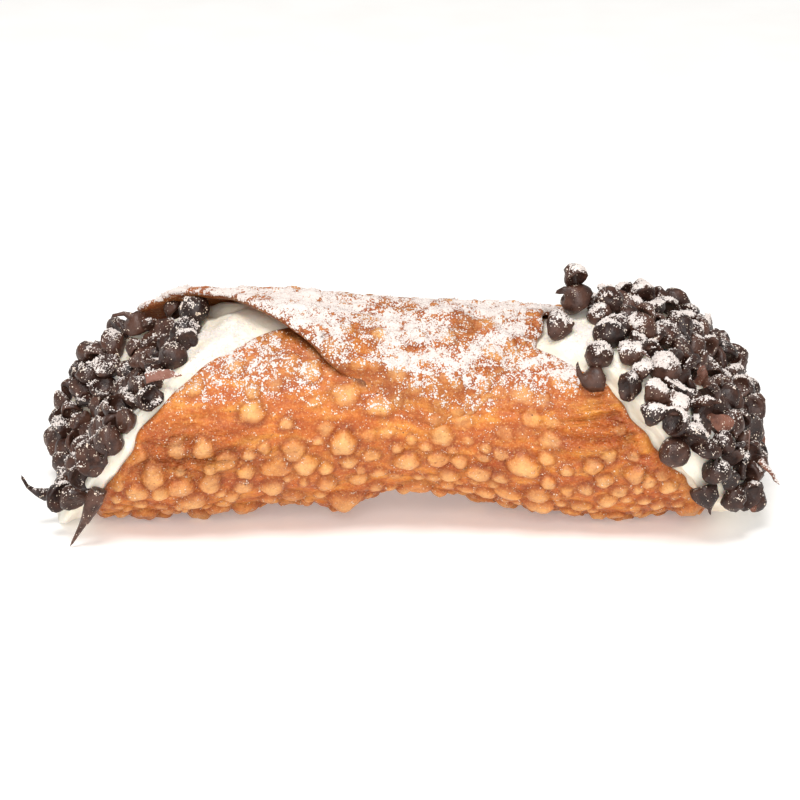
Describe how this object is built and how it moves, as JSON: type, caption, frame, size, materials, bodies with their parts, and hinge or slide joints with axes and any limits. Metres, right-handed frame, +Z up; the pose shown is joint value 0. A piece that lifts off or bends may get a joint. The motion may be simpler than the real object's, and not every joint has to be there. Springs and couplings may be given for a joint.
{
  "type": "cannoli",
  "caption": "Fried pastry tube with an overlapping rounded flap, filled with ricotta cream that swells out of its slanting ends, which are coated in small chocolate chips.",
  "frame": {"origin": "middle of the box's underside, on the surface that the roll rests on, below the roll's axis", "axes": "+X along the roll, towards the end that is on the right from the front; +Y to the back, away from the tip of the flap; +Z up"},
  "size_m": [0.1508, 0.0518, 0.0476],
  "materials": {
    "fried_dough": "golden fried dough, blistered and slightly oily, powdered sugar on its upper side",
    "ricotta_cream": "smooth off-white sweet ricotta cream, soft satin sheen",
    "chocolate": "dark semi-sweet chocolate chips, satin, with powdered sugar on top"
  },
  "bodies": {
    "root": {"shell": "fried_dough", "cream": "ricotta_cream", "chips_left": "chocolate", "chips_right": "chocolate"}
  },
  "joints": []
}
